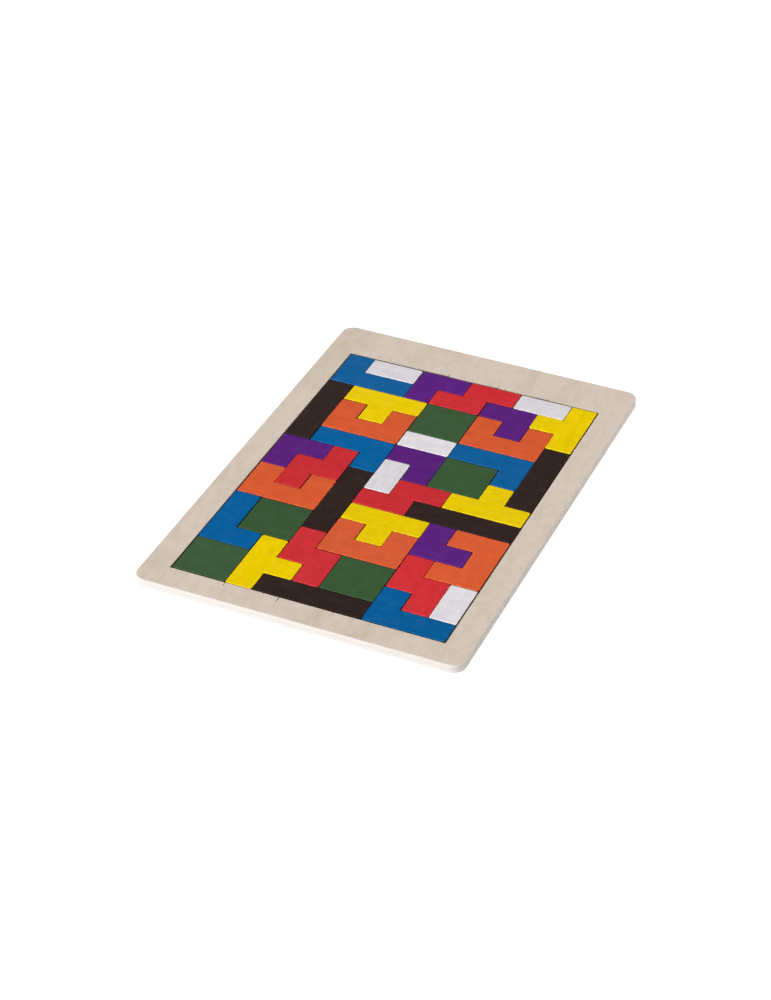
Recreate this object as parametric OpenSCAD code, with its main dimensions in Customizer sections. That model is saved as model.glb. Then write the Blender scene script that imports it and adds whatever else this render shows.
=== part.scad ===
// Wooden block puzzle in its tray, in millimetres. Forty painted pieces of eight shapes fill
// a field of square cells. The tray is a base panel with an open frame glued on top of it.
// The origin is under the middle of the tray, and the wide border of the frame is at +Y.

/* [Cells] */
// Side of one square cell of the field
cell = 15; // [12:0.5:20]
// Gap between two neighbouring pieces
piece_gap = 0.4; // [0.1:0.05:0.8]
// Play between the field of cells and the walls of the well
well_play = 0.5; // [0.1:0.1:2]

/* [Tray] */
// Thickness of the base panel
base_t = 2.2; // [1.5:0.1:8]
// Thickness of the frame on the base panel, which is the depth of the well
frame_t = 2.6; // [2.5:0.1:8]
// Width of the border at the left and at the right
border_w = 14.3; // [12:0.1:30]
// Width of the border at the near side
foot_w = 15; // [12:0.1:30]
// Width of the border at the far side
head_w = 27.1; // [12:0.1:50]
// Radius of the four corners of the tray
corner_r = 7; // [3:0.5:11]
// Radius of the rounded rim at the top of the frame and at the bottom of the base panel
rim_r = 0.3; // [0.1:0.1:1.4]
// Radius of the two rims that meet in the groove of the glued seam
seam_r = 0.25; // [0.1:0.05:0.9]
// Bevel round the upper edge of the well
well_bevel = 0.3; // [0.1:0.05:0.8]

/* [Saw nicks] */
// Width of the widest nick that the saw left in the frame
nick_w = 0.5; // [0.3:0.1:1]
// Length of the longest nick, from the wall of the well into the border
nick_l = 4; // [1:0.5:8]
// How far the nicks in the near border lie right of their column lines
nick_shift = 0.8; // [0:0.1:2]

/* [Pieces] */
// Depth of the faces of the pieces below the face of the frame
piece_drop = 0.1; // [0:0.1:0.8]
// Radius of the sanded edges of a piece
piece_round = 0.4; // [0.1:0.05:0.8]
// How far a loose piece lies off the middle of its place, as a share of half the gap
looseness = 0.7; // [0:0.05:0.8]

/* [Hidden] */
$fn = 48;
rim_facets = 24;
columns = 10;
rows = 15;
well_w = columns * cell + 2 * well_play;
well_l = rows * cell + 2 * well_play;
tray_w = well_w + 2 * border_w;
tray_l = well_l + foot_w + head_w;
// The middle of the well lies nearer than the middle of the tray, by the wider far border
well_y = (foot_w - head_w) / 2;
piece_t = frame_t - piece_drop;
// A cut goes past the faces that it opens by this much
past = 1;

// Where the saw ran past the well, in the near and in the far border: the column line of each nick,
// its length as a share of the longest one, and its width as a share of the widest one
NEAR_NICKS = [[2, 0.8, 0.8], [4, 1, 1], [6, 0.5, 0.6]];
FAR_NICKS = [[4, 0.75, 0.7], [6, 0.8, 0.6], [8, 0.6, 0.5]];

// Where the pieces lie. Each place is the column and the row of the piece's own first cell,
// counted from the far left, then its quarter turns to the left, whether it is turned over,
// and which way it lies loose, to the right and away.
BLUE_L = [
    [0, 1, 0, false, [1, 0.7]],
    [8, 4, 2, false, [1, 0]],
    [3, 5, 2, false, [1, 0]],
    [0, 12, 3, true, [-1, 0.5]],
    [7, 14, 0, false, [-1, 1]],
];
WHITE_DOMINO = [
    [1, 0, 0, false, [0, -0.5]],
    [7, 0, 0, false, [-1, -0.5]],
    [4, 4, 0, false, [0.5, 0]],
    [4, 7, 1, false, [1, 0]],
    [9, 13, 1, false, [-1, 0]],
];
PURPLE_CORNER = [
    [3, 0, 3, false, [0, 1]],
    [7, 1, 2, false, [1, 0]],
    [5, 5, 2, false, [1, 0]],
    [0, 6, 3, false, [1, 0]],
    [7, 10, 0, false, [0, 0]],
];
RED_ZIGZAG = [
    [5, 1, 0, false, [-1, 1]],
    [2, 7, 1, true, [-1, 0]],
    [5, 8, 0, false, [0, 0]],
    [4, 12, 1, false, [0, -1]],
    [8, 12, 1, false, [0.5, 0]],
];
BLACK_BAR = [
    [0, 5, 1, false, [0, 0]],
    [9, 6, 1, false, [-1, 0]],
    [3, 10, 1, false, [0, 1]],
    [6, 8, 0, false, [-1, 0]],
    [3, 14, 0, false, [0, 0]],
];
YELLOW_TEE = [
    [9, 1, 1, false, [-1, 1]],
    [2, 2, 2, false, [1, 1]],
    [8, 7, 0, false, [-1, 0]],
    [5, 9, 2, false, [1, 0]],
    [2, 13, 3, false, [0, -1]],
];
ORANGE_U = [
    [7, 3, 0, false, [1, 0]],
    [2, 4, 0, false, [-1, 0]],
    [1, 9, 0, false, [1, 0.7]],
    [9, 10, 1, false, [-1, 0]],
    [5, 11, 0, false, [-0.5, 1]],
];
GREEN_SQUARE = [
    [4, 3, 0, false, [0.5, 0]],
    [6, 6, 0, false, [0, -1]],
    [1, 11, 0, false, [1, 0]],
    [5, 13, 0, false, [-0.5, 1]],
    [0, 14, 0, false, [0, 0.5]],
];
COPIES = [0:4];
KINDS = ["blue_l", "white_domino", "purple_corner", "red_zigzag", "black_bar", "yellow_tee", "orange_u",
    "green_square"];

function named(kind, copy) = str(kind, "_", copy + 1);

// What rounding an edge takes away: the corner outside a quarter circle about the origin
module rim_waste(r) {
    difference() {
        square(r + past);
        circle(r, $fn = rim_facets);
    }
}

// Upright section of the outer part of a tray layer, from x = 0 to the rounded rims at its side
module rim_section(t, r_bottom, r_top) {
    difference() {
        square([corner_r, t]);
        translate([corner_r - r_bottom, r_bottom]) mirror([0, 1]) rim_waste(r_bottom);
        translate([corner_r - r_top, t - r_top]) rim_waste(r_top);
    }
}

// One layer of the tray: a flat middle, a straight run along each side and a turned corner after it
module tray_layer(t, r_bottom, r_top) {
    middle_w = tray_w - 2 * corner_r;
    middle_l = tray_l - 2 * corner_r;
    translate([-middle_w / 2, -middle_l / 2, 0]) cube([middle_w, middle_l, t]);
    for (turn = [0:3]) {
        across = turn % 2 == 0 ? middle_w : middle_l;
        along = turn % 2 == 0 ? middle_l : middle_w;
        rotate(90 * turn) translate([across / 2, along / 2, 0]) {
            rotate([90, 0, 0]) linear_extrude(along) rim_section(t, r_bottom, r_top);
            rotate_extrude(angle = 90) rim_section(t, r_bottom, r_top);
        }
    }
}

// Flat block of w by l by t on the XY plane, with its upper and lower edges rounded
module rounded_block(w, l, t, r) {
    intersection() {
        translate([0, l, 0]) rotate([90, 0, 0]) linear_extrude(l) rounded_section(w, t, r);
        rotate([90, 0, 90]) linear_extrude(w) rounded_section(l, t, r);
    }
}

module rounded_section(w, t, r) {
    difference() {
        square([w, t]);
        translate([w - r, t - r]) rim_waste(r);
        translate([r, t - r]) rotate(90) rim_waste(r);
        translate([r, r]) rotate(180) rim_waste(r);
        translate([w - r, r]) rotate(270) rim_waste(r);
    }
}

// Opening of the well through the frame, with its bevel at the upper edge
module well() {
    translate([0, well_y, base_t]) {
        translate([-well_w / 2, -well_l / 2, -past]) cube([well_w, well_l, frame_t + 2 * past]);
        intersection() {
            rotate([90, 0, 0]) linear_extrude(2 * well_l, center = true) well_flare(well_w);
            rotate([90, 0, 90]) linear_extrude(2 * well_w, center = true) well_flare(well_l);
        }
    }
}

// Section of the flare that bevels the well: w wide at the foot of the bevel and wider above it
module well_flare(w) {
    foot = frame_t - well_bevel;
    spread = well_bevel + past;
    polygon([
        [-w / 2, foot], [w / 2, foot],
        [w / 2 + spread, foot + spread], [-w / 2 - spread, foot + spread],
    ]);
}

// A saw nick that runs from the well into a border: side is -1 for the near one and 1 for the far one
module saw_nick(nick, side, shift) {
    x = (nick[0] - columns / 2) * cell + shift;
    l = nick[1] * nick_l;
    w = nick[2] * nick_w;
    y = well_y + side * (well_l + l - well_play) / 2;
    translate([x, y, base_t + frame_t / 2]) cube([w, l + well_play, frame_t + 2 * past], center = true);
}

// One straight arm of a piece. It covers some cells right of and away from a cell of the piece.
module arm(column, row, across, along) {
    translate([(column - 0.5) * cell + piece_gap / 2, (row - 0.5) * cell + piece_gap / 2, 0])
        rounded_block(across * cell - piece_gap, along * cell - piece_gap, piece_t, piece_round);
}

// Lays a piece down on the base panel, in its place in the field
module laid(place) {
    shift = place[4] * looseness * piece_gap / 2;
    x = (place[0] + 0.5 - columns / 2) * cell + shift[0];
    y = (rows / 2 - place[1] - 0.5) * cell + well_y + shift[1];
    translate([x, y, base_t]) rotate(90 * place[2]) mirror([place[3] ? 1 : 0, 0, 0]) children();
}

module base_panel() {
    color("#d8cab8") tray_layer(base_t, rim_r, seam_r);
}

module frame() {
    color("#d3c3b2") difference() {
        translate([0, 0, base_t]) tray_layer(frame_t, seam_r, rim_r);
        well();
        for (nick = NEAR_NICKS) saw_nick(nick, -1, nick_shift);
        for (nick = FAR_NICKS) saw_nick(nick, 1, 0);
    }
}

module blue_l() {
    color("#11609a") {
        arm(0, 0, 3, 1);
        arm(0, 0, 1, 2);
    }
}

module white_domino() {
    color("#dcd7db") arm(0, 0, 2, 1);
}

module purple_corner() {
    color("#5b257c") {
        arm(0, 0, 2, 1);
        arm(0, 0, 1, 2);
    }
}

module red_zigzag() {
    color("#cb3137") {
        arm(-1, 0, 2, 1);
        arm(0, 0, 1, 2);
        arm(0, 1, 2, 1);
    }
}

module black_bar() {
    color("#322523") arm(0, 0, 4, 1);
}

module yellow_tee() {
    color("#e9ca04") {
        arm(-1, 0, 3, 1);
        arm(0, 0, 1, 2);
    }
}

module orange_u() {
    color("#d65c34") {
        arm(-1, 0, 3, 1);
        arm(-1, 0, 1, 2);
        arm(1, 0, 1, 2);
    }
}

module green_square() {
    color("#3c5939") arm(0, 0, 2, 2);
}

base_panel();
frame();
for (copy = COPIES) {
    laid(BLUE_L[copy]) blue_l();
    laid(WHITE_DOMINO[copy]) white_domino();
    laid(PURPLE_CORNER[copy]) purple_corner();
    laid(RED_ZIGZAG[copy]) red_zigzag();
    laid(BLACK_BAR[copy]) black_bar();
    laid(YELLOW_TEE[copy]) yellow_tee();
    laid(ORANGE_U[copy]) orange_u();
    laid(GREEN_SQUARE[copy]) green_square();
}
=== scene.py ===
# A wooden block puzzle: forty painted blocks lie loose in a plywood tray, in a pale studio
import math
import bpy
import numpy as np
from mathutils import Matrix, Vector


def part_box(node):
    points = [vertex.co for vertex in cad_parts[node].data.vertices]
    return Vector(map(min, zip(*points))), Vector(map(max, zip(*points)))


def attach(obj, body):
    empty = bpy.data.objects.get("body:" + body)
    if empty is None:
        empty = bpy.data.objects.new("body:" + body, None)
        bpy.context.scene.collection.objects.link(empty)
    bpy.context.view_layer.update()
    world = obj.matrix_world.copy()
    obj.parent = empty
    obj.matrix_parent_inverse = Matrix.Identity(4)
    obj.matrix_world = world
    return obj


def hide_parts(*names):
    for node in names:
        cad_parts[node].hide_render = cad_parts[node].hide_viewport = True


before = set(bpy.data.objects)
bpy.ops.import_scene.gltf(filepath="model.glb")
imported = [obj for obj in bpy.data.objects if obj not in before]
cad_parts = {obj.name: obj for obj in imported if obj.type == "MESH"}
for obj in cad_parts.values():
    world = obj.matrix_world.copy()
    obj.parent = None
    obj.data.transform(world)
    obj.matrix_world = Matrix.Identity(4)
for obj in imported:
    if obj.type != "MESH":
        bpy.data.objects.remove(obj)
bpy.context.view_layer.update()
print("frame loaded:", len(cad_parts), "nodes")

# Camera, at the photograph's angle: places in metres, turns in degrees, lens and sensor in millimetres
view = dict(place=(0.42595, -1.03336, 0.77828), turn=(54.866, -0.797, 23.316), lens=91.786, sensor=36.0,
            nearest=0.01)

camera = bpy.data.objects.new("camera", bpy.data.cameras.new("camera"))
camera.location = view["place"]
camera.rotation_euler = [math.radians(angle) for angle in view["turn"]]
camera.data.lens = view["lens"]
camera.data.sensor_width = view["sensor"]
camera.data.clip_start = view["nearest"]
bpy.context.scene.collection.objects.link(camera)
bpy.context.scene.camera = camera
bpy.context.scene.view_settings.view_transform = "Standard"
print("camera set")


# A node's output that takes arithmetic: each operator adds the Math node it needs
class Wire:
    def __init__(self, tree, socket):
        self.tree = tree
        self.socket = socket

    def math(self, operation, *values):
        node = self.tree.nodes.new("ShaderNodeMath")
        node.operation = operation
        for slot, value in zip(node.inputs, values):
            plug(self.tree, slot, value)
        return Wire(self.tree, node.outputs[0])

    def __add__(self, other):
        return self.math("ADD", self, other)

    def __radd__(self, other):
        return self.math("ADD", other, self)

    def __sub__(self, other):
        return self.math("SUBTRACT", self, other)

    def __rsub__(self, other):
        return self.math("SUBTRACT", other, self)

    def __mul__(self, other):
        return self.math("MULTIPLY", self, other)

    def __rmul__(self, other):
        return self.math("MULTIPLY", other, self)

    def __truediv__(self, other):
        return self.math("DIVIDE", self, other)

    def __gt__(self, other):
        return self.math("GREATER_THAN", self, other)

    def __lt__(self, other):
        return self.math("LESS_THAN", self, other)

    def __abs__(self):
        return self.math("ABSOLUTE", self)


def plug(tree, slot, value):
    if isinstance(value, Wire):
        tree.links.new(value.socket, slot)
    elif slot.type == "RGBA" and len(value) == 3:
        slot.default_value = (*value, 1.0)
    else:
        slot.default_value = value


# A node tree: add() makes any node from its type, its settings and its inputs
class Graph:
    def __init__(self, owner):
        owner.use_nodes = True
        self.owner = owner
        self.tree = owner.node_tree
        self.tree.nodes.clear()

    def add(self, kind, settings=None, inputs=None, output=0):
        node = self.tree.nodes.new("ShaderNode" + kind)
        for key, value in (settings or {}).items():
            setattr(node, key, value)
        for key, value in (inputs or {}).items():
            plug(self.tree, node.inputs[key], value)
        return Wire(self.tree, node.outputs[output]) if len(node.outputs) else None

    # The three parts of a vector
    def split(self, vector):
        node = self.add("SeparateXYZ", inputs={"Vector": vector}).socket.node
        return [Wire(self.tree, output) for output in node.outputs]

    # 1 where a ray comes from the camera, and 1 where it comes from a reflection or through glass
    def seen(self):
        path = self.tree.nodes.new("ShaderNodeLightPath")
        direct, glossy, through = [Wire(self.tree, path.outputs[f"Is {kind} Ray"])
                                   for kind in ("Camera", "Glossy", "Transmission")]
        return direct, glossy + through

    # Cloudy noise from 0 to 1 with features of the given sizes, in metres along x, y and z
    def cloud(self, place, size, detail=3.0, roughness=0.5, distortion=0.0):
        scaled = self.add("Mapping", inputs={"Vector": place, "Scale": [1 / length for length in size]})
        return self.add("TexNoise", inputs={
            "Vector": scaled, "Scale": 1.0, "Detail": detail, "Roughness": roughness,
            "Distortion": distortion})

    # Mixes two colours by a mask; kept is how they mix
    def blend(self, mask, first, second, kept="MIX"):
        node = self.tree.nodes.new("ShaderNodeMix")
        node.data_type = "RGBA"
        node.blend_type = kept
        plug(self.tree, node.inputs["Factor"], mask)
        plug(self.tree, node.inputs[6], first)
        plug(self.tree, node.inputs[7], second)
        return Wire(self.tree, node.outputs[2])

    # Makes a colour lighter or darker by a factor that changes over the surface
    def shade(self, colour, factor):
        grey = self.add("CombineColor", inputs={"Red": factor, "Green": factor, "Blue": factor})
        return self.blend(1.0, colour, grey, "MULTIPLY")

    # From 0 to 1 as a value goes from low to high, with soft ends
    def ease(self, value, low, high):
        return self.add("MapRange", {"interpolation_type": "SMOOTHSTEP"}, {
            "Value": value, "From Min": low, "From Max": high, "To Min": 0.0, "To Max": 1.0})

    # Spots where a cloud rises through the noise levels in edges
    def spots(self, place, facts, **noise):
        return self.ease(self.cloud(place, facts["size"], **noise), *facts["edges"])

    # The finished surface; lift is in metres, for a height from 0 to 1
    def surface(self, colour, roughness, height, lift, specular):
        bump = self.add("Bump", inputs={"Strength": 1.0, "Distance": lift, "Height": height})
        shader = self.add("BsdfPrincipled", inputs={
            "Base Color": colour, "Roughness": roughness, "Normal": bump,
            "Specular IOR Level": specular})
        self.add("OutputMaterial", inputs={"Surface": shader})
        return self.owner


# Bare sanded plywood: the face veneer's fibres run along the tray, and the plies show at the edges.
# Sizes are in metres, across, along and through the sheet. Edges are the noise levels at which a mark
# starts and is full, dark is how much it darkens the face, and height is how far it stands up.
plywood = dict(
    face=(0.664, 0.573, 0.488), faceDark=(0.562, 0.464, 0.358), faceEdges=(0.35, 0.90),
    # The plies that are cut along their fibres, and those that are cut across them
    frameGrain=((0.778, 0.688, 0.606), (0.704, 0.688, 0.680)),
    baseGrain=((0.774, 0.702, 0.630), (0.700, 0.696, 0.696)),
    frameCut=(0.74, 1.02, 0.28), baseCut=(2.59, 3.57, 0.14),  # Where in the wood each sheet lay
    # Painted shade: the first colour on the next line darkens the well's cut walls, in the gap around
    # the blocks
    wellWallShade=(0.38, 0.30, 0.24), glue=(0.620, 0.560, 0.490), glueWidth=0.020, glueShow=0.42, glueDepth=0.5,
    plyShare=0.31, endwiseFrom=0.707,
    fibre=dict(size=(0.0006, 0.018, 0.0006), dark=1.10, middle=0.50, onEdge=0.10, height=0.6),
    mottle=dict(size=(0.0045, 0.0080, 0.0045), dark=1.45, middle=0.45, rough=0.10),
    band=dict(size=(0.016, 0.30, 0.016), dark=0.30, edges=(0.38, 0.70)),
    smudge=dict(size=(0.040, 0.050, 0.040), dark=0.35, edges=(0.45, 0.75)),
    pore=dict(size=(0.00022, 0.0026, 0.00022), dark=0.09, edges=(0.60, 0.72), depth=0.9),
    fleck=dict(size=(0.0012, 0.0030, 0.0012), dark=0.16, edges=(0.74, 0.80)),
    rings=dict(size=(0.0006, 0.0006, 0.0003), onEdge=0.20, height=0.5),
    waver=dict(size=(0.012, 0.012, 0.004), reach=0.00010),
    lift=0.00004, roughness=0.62, specular=0.05)


def plywoodFinish(name, bottom, thickness, cut, grain):
    graph = Graph(bpy.data.materials.new(name))
    place = graph.add("TexCoord", output=3)
    facing = graph.split(graph.add("NewGeometry", output=1))
    upward = abs(facing[2])
    endwise = abs(facing[1]) > plywood["endwiseFrom"]
    shift = graph.add("VectorMath", {"operation": "ADD"}, {0: place, 1: cut})

    fibreFacts, mottleFacts, poreFacts = plywood["fibre"], plywood["mottle"], plywood["pore"]
    fibre = graph.cloud(shift, fibreFacts["size"], detail=6.0, roughness=0.62)
    mottle = graph.cloud(shift, mottleFacts["size"], detail=4.0, roughness=0.55)
    band = graph.spots(shift, plywood["band"], detail=3.0, distortion=0.35)
    smudge = graph.spots(shift, plywood["smudge"], detail=2.0)
    pore = graph.spots(shift, poreFacts, detail=2.0)
    fleck = graph.spots(shift, plywood["fleck"], detail=1.0)

    marks = plywood["band"]["dark"] * band + plywood["smudge"]["dark"] * smudge
    marks = marks + fibreFacts["dark"] * (fibre - fibreFacts["middle"])
    marks = marks + mottleFacts["dark"] * (mottle - mottleFacts["middle"])
    face = graph.blend(marks, plywood["face"], plywood["faceDark"])
    face = graph.shade(face, 1.0 - poreFacts["dark"] * pore - plywood["fleck"]["dark"] * fleck)

    # Height inside the sheet from 0 to 1, a little wavy, tells the outer plies from the core
    waver = plywood["waver"]["reach"] * (graph.cloud(shift, plywood["waver"]["size"]) - 0.5)
    level = (graph.split(place)[2] - bottom + waver) / thickness
    share = plywood["plyShare"]
    core = (level > share) * (level < 1.0 - share)
    across = core + endwise - 2.0 * core * endwise
    rings = graph.cloud(shift, plywood["rings"]["size"], detail=4.0)
    long = graph.shade(grain[0], 1.0 + fibreFacts["onEdge"] * (fibre - 0.5))
    end = graph.shade(grain[1], 1.0 + plywood["rings"]["onEdge"] * (rings - 0.5))
    edge = graph.blend(across, long, end)
    width = plywood["glueWidth"]
    seam = (abs(level - share) < width) + (abs(level - (1.0 - share)) < width)
    edge = graph.blend(plywood["glueShow"] * seam, edge, plywood["glue"])
    # Painted shade: the well's cut walls, seen only in the gap around the blocks, turn dark brown
    wellWallShade = graph.add("Attribute", {"attribute_name": "wellWallShade"}, output=2)
    edge = graph.blend(wellWallShade, edge, plywood["wellWallShade"])

    sideways = 1.0 - upward
    colour = graph.blend(graph.ease(upward, *plywood["faceEdges"]), edge, face)
    height = fibreFacts["height"] * fibre - poreFacts["depth"] * pore
    height = height + plywood["rings"]["height"] * rings * sideways
    height = height - plywood["glueDepth"] * seam * sideways
    roughness = plywood["roughness"] + mottleFacts["rough"] * (mottle - 0.5)
    return graph.surface(colour, roughness, height, plywood["lift"], plywood["specular"])


# Thin satin paint on the blocks, which lets the wood's fibres show through a little. A painted highlight
# lightens it in spots along the rounded edges, and painted shade darkens the sides, as down in the gaps
# between blocks. Sizes are in metres, and change is how much a pattern makes the paint lighter and
# darker.
paint = dict(
    mottle=dict(size=(0.0060, 0.0045, 0.0045), change=0.30, rough=0.20),
    fibre=dict(size=(0.014, 0.0007, 0.0007), change=0.24, height=0.7),
    streak=dict(size=(0.030, 0.0030, 0.0030), change=0.14),
    speck=dict(size=(0.00035, 0.00035, 0.00035), change=0.24, height=0.3),
    # Painted highlight: lighter paint in spots along the rounded edges, where they would catch the light
    edgeHighlight=dict(size=(0.0025, 0.0025, 0.0025), light=0.70, edges=(0.30, 0.70)),
    chalk=dict(size=(0.0090, 0.0060, 0.0060), most=0.009, edges=(0.45, 0.75)),
    # sideShade on the next line is painted shade on the blocks' sides, for the gaps between them
    faded=(0.60, 0.60, 0.60), sideShade=0.80, sideEdges=(0.05, 0.75),
    lift=0.00003, roughness=0.26, specular=0.25)

paintColours = dict(
    blue_paint=(0.0015, 0.112, 0.327), white_paint=(0.735, 0.699, 0.725),
    purple_paint=(0.105, 0.0165, 0.205), red_paint=(0.608, 0.030, 0.037),
    black_paint=(0.031, 0.0175, 0.0158), yellow_paint=(0.833, 0.601, 0.0001),
    orange_paint=(0.687, 0.107, 0.033), green_paint=(0.043, 0.098, 0.038))


def paintFinish(name, colour):
    graph = Graph(bpy.data.materials.new(name))
    place = graph.add("Attribute", {"attribute_name": "grainPlace"}, output=1)
    tone, fade, rim = [graph.add("Attribute", {"attribute_name": key}, output=2)
                       for key in ("tone", "fade", "rim")]
    upward = abs(graph.split(graph.add("NewGeometry", output=1))[2])
    patterns = dict(
        mottle=graph.cloud(place, paint["mottle"]["size"], detail=4.0, distortion=0.4),
        fibre=graph.cloud(place, paint["fibre"]["size"], detail=6.0, roughness=0.6),
        streak=graph.cloud(place, paint["streak"]["size"], detail=3.0),
        speck=graph.cloud(place, paint["speck"]["size"], detail=2.0))
    factor = tone
    for key, noise in patterns.items():
        factor = factor + paint[key]["change"] * (noise - 0.5)
    # Painted shade: the sides and the steeper part of each rounded edge are darker, as in the gaps
    # between blocks
    side = 1.0 - graph.ease(upward, *paint["sideEdges"])
    # Painted highlight: the paint is lighter in spots along the rounded edges
    paintedHighlight = rim * graph.spots(place, paint["edgeHighlight"], detail=4.0) * paint["edgeHighlight"]["light"]
    shaded = graph.shade(colour, factor * (1.0 + paintedHighlight) * (1.0 - paint["sideShade"] * side))
    chalk = paint["chalk"]["most"] * graph.spots(place, paint["chalk"], detail=2.0)
    shaded = graph.blend(fade + chalk, shaded, paint["faded"])
    height = paint["fibre"]["height"] * patterns["fibre"] + paint["speck"]["height"] * patterns["speck"]
    roughness = paint["roughness"] + paint["mottle"]["rough"] * (patterns["mottle"] - 0.5)
    return graph.surface(shaded, roughness, height, paint["lift"], paint["specular"])


# Makes a piece from points, faces and values at its points, smooth all over
def makePiece(name, points, faces, finish, values=None):
    mesh = bpy.data.meshes.new(name)
    mesh.from_pydata(points.tolist(), [], faces)
    mesh.polygons.foreach_set("use_smooth", np.ones(len(mesh.polygons), bool))
    for key, numbers in (values or {}).items():
        kind, field = ("FLOAT_VECTOR", "vector") if numbers.ndim == 2 else ("FLOAT", "value")
        attribute = mesh.attributes.new(key, kind, "POINT")
        attribute.data.foreach_set(field, numbers.astype(np.float32).ravel())
    mesh.materials.append(finish)
    mesh.update()
    piece = bpy.data.objects.new(name, mesh)
    bpy.context.scene.collection.objects.link(piece)
    return piece


# Rounded outline of a polygon with square corners, counterclockwise, with all its sides moved in by a
# clearance. Each corner is an arc of steps + 1 points. A point at an inset i is its arc's centre + its
# outward direction * (bend - i), where bend is the arc's radius, and minus that at an inward corner.
class Outline:
    def __init__(self, corners, radius, steps, inwardRadius=0.0, clearance=0.0):
        corners = np.asarray(corners, float)
        arriving = corners - np.roll(corners, 1, axis=0)
        leaving = np.roll(corners, -1, axis=0) - corners
        arriving /= np.linalg.norm(arriving, axis=1, keepdims=True)
        leaving /= np.linalg.norm(leaving, axis=1, keepdims=True)
        first = np.stack([arriving[:, 1], -arriving[:, 0]], 1)
        last = np.stack([leaving[:, 1], -leaving[:, 0]], 1)
        sign = np.sign(arriving[:, 0] * leaving[:, 1] - arriving[:, 1] * leaving[:, 0])
        angle = np.linspace(0, math.pi / 2, steps + 1)[None, :, None]
        outward = first[:, None] * np.cos(angle) + last[:, None] * np.sin(angle)
        bend = np.where(sign > 0, radius, -inwardRadius)
        centres = corners - (bend + clearance)[:, None] * (first + last)
        self.outward = outward.reshape(-1, 2)
        self.centres = np.repeat(centres, steps + 1, axis=0)
        self.bend = np.repeat(bend, steps + 1)

    def ring(self, inset, height):
        flat = self.centres + self.outward * (self.bend - inset)[:, None]
        return np.column_stack([flat, np.full(len(flat), height)])


# Profile of a rounded side as (inset, height) pairs from the bottom to the top: a quarter circle at each
# rim, inset = r - r sin a and height = r - r cos a, with a flat step inside each rim
def sideProfile(thickness, lowerRadius, upperRadius, steps, margin):
    angle = np.linspace(0, math.pi / 2, steps + 1)
    inset, rise = 1 - np.sin(angle), 1 - np.cos(angle)
    lower = np.column_stack([lowerRadius * inset, lowerRadius * rise])
    upper = np.column_stack([upperRadius * inset, thickness - upperRadius * rise])[::-1]
    return np.vstack([[lowerRadius + margin, 0], lower, upper, [upperRadius + margin, thickness]])


# Faces between the rings of a stack: points k and k + 1 of one ring, and the same two of the next ring
def bandFaces(ringCount, pointCount, start=0):
    index = start + np.arange(ringCount * pointCount).reshape(ringCount, pointCount)
    turned = np.roll(index, -1, axis=1)
    return np.stack([index[:-1], turned[:-1], turned[1:], index[1:]], -1).reshape(-1, 4).tolist()


# Closed slab: an outline carried up a side profile, and a flat face at the bottom and at the top
def slab(outline, profile, base):
    rings = [outline.ring(inset, base + height) for inset, height in profile]
    count = len(rings[0])
    faces = bandFaces(len(rings), count)
    faces.append(list(range(count))[::-1])
    faces.append(list(range((len(rings) - 1) * count, len(rings) * count)))
    return np.vstack(rings), faces


# The tray, in metres: two sheets of the same outline, and the well that is cut through the upper one
tray = dict(
    cornerRadius=0.007, rimRadius=0.0003, seamRadius=0.00015, wellBevel=0.0003,
    border=0.0143, footBorder=0.0150, headBorder=0.0271,
    cornerSteps=16, rimSteps=6, bevelSteps=3, margin=0.00012)

# The saw nicks at the well's near and far sides. Each has its column line and its shares of the longest
# one's length and the widest one's width; taper is how wide the tip is, for a foot of one.
nicks = dict(
    width=0.0005, length=0.0040, taper=0.6, columns=10, nearShift=0.0008,
    near=[(2, 0.80, 0.8), (4, 1.0, 1.0), (6, 0.5, 0.6)],
    far=[(4, 0.75, 0.7), (6, 0.8, 0.6), (8, 0.6, 0.5)])

sheetLow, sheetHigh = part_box("base_panel")
frameLow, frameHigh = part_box("frame")
wellLow = np.array([frameLow.x + tray["border"], frameLow.y + tray["footBorder"]])
wellHigh = np.array([frameHigh.x - tray["border"], frameHigh.y - tray["headBorder"]])


def trayOutline():
    corners = [(sheetLow.x, sheetLow.y), (sheetHigh.x, sheetLow.y), (sheetHigh.x, sheetHigh.y),
               (sheetLow.x, sheetHigh.y)]
    return Outline(corners, tray["cornerRadius"], tray["cornerSteps"])


def makeBasePanel():
    thickness = sheetHigh.z - sheetLow.z
    rim, seam = tray["rimRadius"], tray["seamRadius"]
    profile = sideProfile(thickness, rim, seam, tray["rimSteps"], tray["margin"])
    points, faces = slab(trayOutline(), profile, sheetLow.z)
    finish = plywoodFinish(
        "plywood_base", sheetLow.z, thickness, plywood["baseCut"], plywood["baseGrain"])
    piece = makePiece("base_panel_plywood", points, faces, finish, {"wellWallShade": np.zeros(len(points))})
    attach(piece, "root")
    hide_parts("base_panel")


# One side of the well from a corner on, with its nicks: at each nick the path leaves the wall, runs out
# to the nick's narrow end and comes back. flare widens the well, and slit widens the nicks.
def wellSide(start, end, outward, places, flare, slit):
    along = (end - start) / np.linalg.norm(end - start)
    wall = start + outward * flare - along * flare
    points = [wall]
    for place, share, widthShare in places:
        foot = start + along * place + outward * flare
        tip = start + along * place + outward * (nicks["length"] * share + slit)
        half = nicks["width"] * widthShare / 2 + slit
        narrow = half - nicks["width"] * widthShare / 2 * (1 - nicks["taper"])
        points += [foot - along * half, tip - along * narrow, tip + along * narrow, foot + along * half]
    return points


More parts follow.
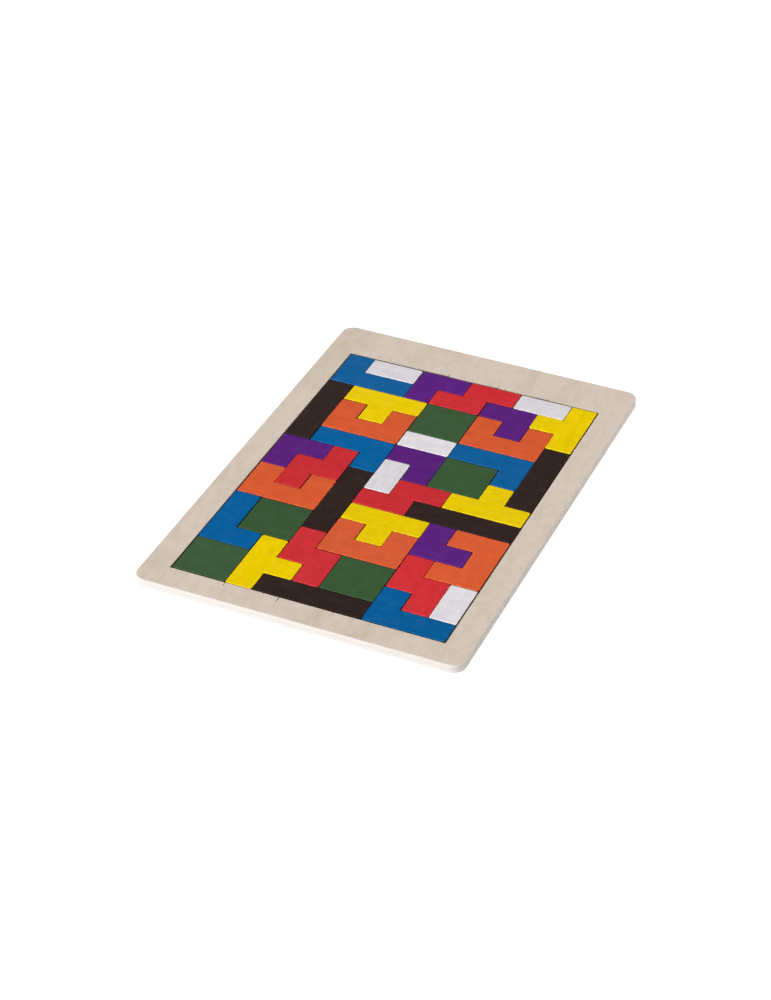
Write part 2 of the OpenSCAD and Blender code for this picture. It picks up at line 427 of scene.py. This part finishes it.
# The well's four sides at one height, as a ring of points, and where in it each side starts
def wellRing(flare, slit, height, cell):
    corners = np.array([wellLow, (wellHigh[0], wellLow[1]), wellHigh, (wellLow[0], wellHigh[1])])
    outwards = np.array([(0, -1), (1, 0), (0, 1), (-1, 0)], float)
    half = (wellHigh[0] - wellLow[0]) / 2
    middle = nicks["columns"] / 2
    near = [(half + (line - middle) * cell + nicks["nearShift"], *shares)
            for line, *shares in nicks["near"]]
    far = [(half - (line - middle) * cell, *shares) for line, *shares in reversed(nicks["far"])]
    points = []
    sides = []
    for side, places in enumerate((near, [], far, [])):
        sides.append(len(points))
        points += wellSide(corners[side], corners[(side + 1) % 4], outwards[side], places, flare, slit)
    flat = np.array(points)
    return np.column_stack([flat, np.full(len(flat), height)]), sides


def makeFrame(cell):
    thickness = frameHigh.z - frameLow.z
    rim, seam = tray["rimRadius"], tray["seamRadius"]
    profile = sideProfile(thickness, seam, rim, tray["rimSteps"], tray["margin"])
    outline = trayOutline()
    outer = [outline.ring(inset, frameLow.z + height) for inset, height in profile]
    bevel, margin = tray["wellBevel"], tray["margin"]
    angle = np.linspace(0, math.pi / 2, tray["bevelSteps"] + 1)
    inner = [wellRing(bevel + margin, margin / 2, frameHigh.z, cell)[0]]
    for turn in angle:
        flare = bevel * (1 - math.sin(turn))
        inner.append(wellRing(flare, 0, frameHigh.z - bevel * (1 - math.cos(turn)), cell)[0])
    inner.append(wellRing(0, 0, frameLow.z, cell)[0])
    lastRing, sides = wellRing(margin, margin / 2, frameLow.z, cell)
    inner.append(lastRing)
    outerCount, innerCount = len(outer[0]), len(lastRing)
    innerStart = len(outer) * outerCount
    faces = bandFaces(len(outer), outerCount) + bandFaces(len(inner), innerCount, innerStart)
    # The upper and the lower face are four panels each, which meet from corner to corner
    arc = tray["cornerSteps"] + 1
    middle = tray["cornerSteps"] // 2
    for side in range(4):
        outerRun = [(side * arc + middle + k) % outerCount for k in range(arc + 1)]
        following = sides[side + 1] if side < 3 else innerCount
        innerRun = [k % innerCount for k in range(sides[side], following + 1)]
        outerTop = [(len(outer) - 1) * outerCount + k for k in outerRun]
        innerTop = [innerStart + k for k in reversed(innerRun)]
        innerBottom = [(len(inner) - 1) * innerCount + k for k in innerTop]
        faces += [outerTop + innerTop, (outerRun + innerBottom)[::-1]]
    # The well's inner walls carry the painted shade of the gap around the blocks, the outer sides none
    wellWallShade = np.repeat([0.0, 1.0], [innerStart, len(inner) * innerCount])
    finish = plywoodFinish(
        "plywood_frame", frameLow.z, thickness, plywood["frameCut"], plywood["frameGrain"])
    piece = makePiece("frame_plywood", np.vstack(outer + inner), faces, finish, {"wellWallShade": wellWallShade})
    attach(piece, "root")
    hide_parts("frame")


# Each kind of block has its cells, as in one that isn't turned, its paint, and for each copy its quarter
# turns to the left. Over lists the copies that lie turned over.
blockKinds = dict(
    blue_l=dict(
        cells=[(0, 0), (1, 0), (2, 0), (0, 1)], turns=[0, 2, 2, 3, 0], over=[4], paint="blue_paint"),
    white_domino=dict(
        cells=[(0, 0), (1, 0)], turns=[0, 0, 0, 1, 1], over=[], paint="white_paint"),
    purple_corner=dict(
        cells=[(0, 0), (1, 0), (0, 1)], turns=[3, 2, 2, 3, 0], over=[], paint="purple_paint"),
    red_zigzag=dict(
        cells=[(-1, 0), (0, 0), (0, 1), (1, 1)], turns=[0, 1, 0, 1, 1], over=[2], paint="red_paint"),
    black_bar=dict(
        cells=[(0, 0), (1, 0), (2, 0), (3, 0)], turns=[1, 1, 1, 0, 0], over=[], paint="black_paint"),
    yellow_tee=dict(
        cells=[(-1, 0), (0, 0), (1, 0), (0, 1)], turns=[1, 2, 0, 2, 3], over=[], paint="yellow_paint"),
    orange_u=dict(
        cells=[(-1, 0), (0, 0), (1, 0), (-1, 1), (1, 1)], turns=[0, 0, 0, 1, 0], over=[],
        paint="orange_paint"),
    green_square=dict(
        cells=[(0, 0), (1, 0), (0, 1), (1, 1)], turns=[0, 0, 0, 0, 0], over=[], paint="green_paint"),
)
# No two blocks took the paint alike. A block's tone is how light it is, 1 more or less by toneSpread at
# most, and its fade is how much of its colour has gone, which is little in most of them.
block = dict(
    edgeRadius=0.0004, cornerRadius=0.0008, inwardRadius=0.00015, cornerSteps=5, edgeSteps=4,
    margin=0.00010, grainSeed=7, paintSeed=8, toneSpread=0.06, fadeMost=0.012, fadePower=3)


# Corners of the outline round some cells of side one, counterclockwise. Every cell has four directed
# edges, an edge between two cells cancels with its opposite, and corners in a straight run are left out.
def traceCells(cells):
    edges = set()
    for x, y in cells:
        loop = [(x, y), (x + 1, y), (x + 1, y + 1), (x, y + 1)]
        edges |= set(zip(loop, loop[1:] + loop[:1]))
    follows = {a: b for a, b in edges if (b, a) not in edges}
    path = [min(follows)]
    while follows[path[-1]] != path[0]:
        path.append(follows[path[-1]])
    path = np.array(path)
    before = path - np.roll(path, 1, axis=0)
    after = np.roll(path, -1, axis=0) - path
    return path[(before != after).any(axis=1)].astype(float)


# A block that is turned over has -x for x, and each quarter turn takes (x, y) to (-y, x)
def turnedCells(cells, quarters, over):
    if over:
        cells = [(-x, y) for x, y in cells]
    for _ in range(quarters):
        cells = [(-y, x) for x, y in cells]
    return cells


def makeBlock(kind, copy, cell, gap, finish, chance, coat):
    facts = blockKinds[kind]
    node = f"{kind}_{copy}"
    quarters = facts["turns"][copy - 1]
    low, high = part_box(node)
    thickness = high.z - low.z
    corners = traceCells(turnedCells(facts["cells"], quarters, copy in facts["over"])) * cell
    corners += np.array([low.x - gap / 2, low.y - gap / 2]) - corners.min(axis=0)
    outline = Outline(
        corners, block["cornerRadius"], block["cornerSteps"], block["inwardRadius"], gap / 2)
    edge, steps = block["edgeRadius"], block["edgeSteps"]
    profile = sideProfile(thickness, edge, edge, steps, block["margin"])
    points, faces = slab(outline, profile, low.z)
    # The grain follows the block's own long way, which turned with it, and is cut elsewhere in each
    turn = math.radians(-90 * quarters)
    rotation = np.array([[math.cos(turn), -math.sin(turn)], [math.sin(turn), math.cos(turn)]])
    grain = np.column_stack([(points[:, :2] - corners.mean(axis=0)) @ rotation.T, points[:, 2]])
    grain += chance.uniform(-1, 1, 3)
    # Rim is 0 on the flats and sin 2a on the rounded edges, so it is 1 half way round them, where the
    # painted highlight is most
    rim = np.zeros(len(profile))
    rim[1:-1] = np.tile(np.sin(2 * np.linspace(0, math.pi / 2, steps + 1)), 2)
    tone = 1 + block["toneSpread"] * coat.uniform(-1, 1)
    fade = block["fadeMost"] * coat.uniform(0, 1) ** block["fadePower"]
    values = {"grainPlace": grain, "rim": np.repeat(rim, len(outline.bend)),
              "tone": np.full(len(points), tone), "fade": np.full(len(points), fade)}
    piece = makePiece(node + "_painted", points, faces, finish, values)
    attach(piece, "root")
    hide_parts(node)


def makeBlocks(cell, gap):
    chance = np.random.default_rng(block["grainSeed"])
    coat = np.random.default_rng(block["paintSeed"])
    for kind, facts in blockKinds.items():
        finish = paintFinish(facts["paint"], paintColours[facts["paint"]])
        for copy in range(1, len(facts["turns"]) + 1):
            makeBlock(kind, copy, cell, gap, finish, chance, coat)


# A bar is four cells less a gap and a domino is two, which gives the cell and the gap
def cellAndGap():
    barLow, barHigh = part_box("black_bar_4")
    dominoLow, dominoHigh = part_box("white_domino_1")
    long, short = barHigh.x - barLow.x, dominoHigh.x - dominoLow.x
    return (long - short) / 2, long - 2 * short


cell, gap = cellAndGap()
makeBasePanel()
makeFrame(cell)
print("tray made")
makeBlocks(cell, gap)
print("blocks made: cell", round(cell * 1000, 2), "mm, gap", round(gap * 1000, 2), "mm")


# The light comes from the front left, so the sky is brighter there. Places and sizes are in metres.
studio = dict(
    floorSize=14.0, floorDrop=0.0001, floorColour=(0.90, 0.90, 0.90), floorGlow=0.50,
    skyLight=0.84, skyDark=0.02, towardsLight=(-0.45, -0.89), skyEase=(-0.45, 0.80), skyDimmed=0.65,
    whiteBelow=(0.02, 0.15), white=(1.0, 1.0, 1.0),
    key=dict(place=(-1.1, -2.4, 0.85), size=(1.6, 0.9), watts=41.0, colour=(0.985, 1.0, 1.03)),
    top=dict(place=(-0.2, 0.1, 2.2), size=(2.0, 2.0), watts=29.5, colour=(1.0, 1.0, 1.0)),
    side=dict(place=(1.3, 1.0, 0.30), size=(0.8, 0.4), watts=7.6, colour=(1.0, 0.96, 0.93)))


def makeFloor():
    half = studio["floorSize"] / 2
    corners = np.array([(-half, -half), (half, -half), (half, half), (-half, half)])
    corners = np.column_stack([corners, np.full(4, -studio["floorDrop"])])
    graph = Graph(bpy.data.materials.new("studio_floor"))
    diffuse = graph.add("BsdfDiffuse", inputs={"Color": studio["floorColour"]})
    direct, mirrored = graph.seen()
    strength = studio["floorGlow"] * (direct + mirrored)
    glow = graph.add("Emission", inputs={"Color": studio["white"], "Strength": strength})
    both = graph.add("AddShader", inputs={0: diffuse, 1: glow})
    graph.add("OutputMaterial", inputs={"Surface": both})
    makePiece("studio_floor", corners, [[0, 1, 2, 3]], graph.owner)


# A rectangular lamp at its place, turned to face the tray
def makeLamp(name, facts):
    lamp = bpy.data.lights.new(name, "AREA")
    lamp.shape = "RECTANGLE"
    lamp.size, lamp.size_y = facts["size"]
    lamp.energy = facts["watts"]
    lamp.color = facts["colour"]
    holder = bpy.data.objects.new(name, lamp)
    holder.location = facts["place"]
    holder.rotation_euler = (-holder.location).to_track_quat("-Z", "Y").to_euler()
    holder.visible_glossy = False  # The gloss mirrors the sky alone, so no low view has a glare
    bpy.context.scene.collection.objects.link(holder)


# The sky runs from dark behind to light at the front left. The camera sees it plain white, like the
# floor, and so do reflections near the horizon. Higher up they see it dimmed, so the paint keeps its
# colour in low views.
def lightWorld():
    world = bpy.data.worlds.new("studio")
    graph = Graph(world)
    across, depth, height = graph.split(graph.add("TexCoord"))
    towards = studio["towardsLight"]
    light = graph.ease(towards[0] * across + towards[1] * depth, *studio["skyEase"])
    strength = studio["skyDark"] + (studio["skyLight"] - studio["skyDark"]) * light
    direct, mirrored = graph.seen()
    strength = strength * (1.0 - studio["skyDimmed"] * mirrored)
    white = direct + mirrored * (1.0 - graph.ease(height, *studio["whiteBelow"]))
    strength = strength + white * (1.0 - strength)
    background = graph.add("Background", inputs={"Color": studio["white"], "Strength": strength})
    graph.add("OutputWorld", inputs={"Surface": background})
    bpy.context.scene.world = world


makeFloor()
for lampName in ("key", "top", "side"):
    makeLamp(lampName, studio[lampName])
lightWorld()
print("studio lit")
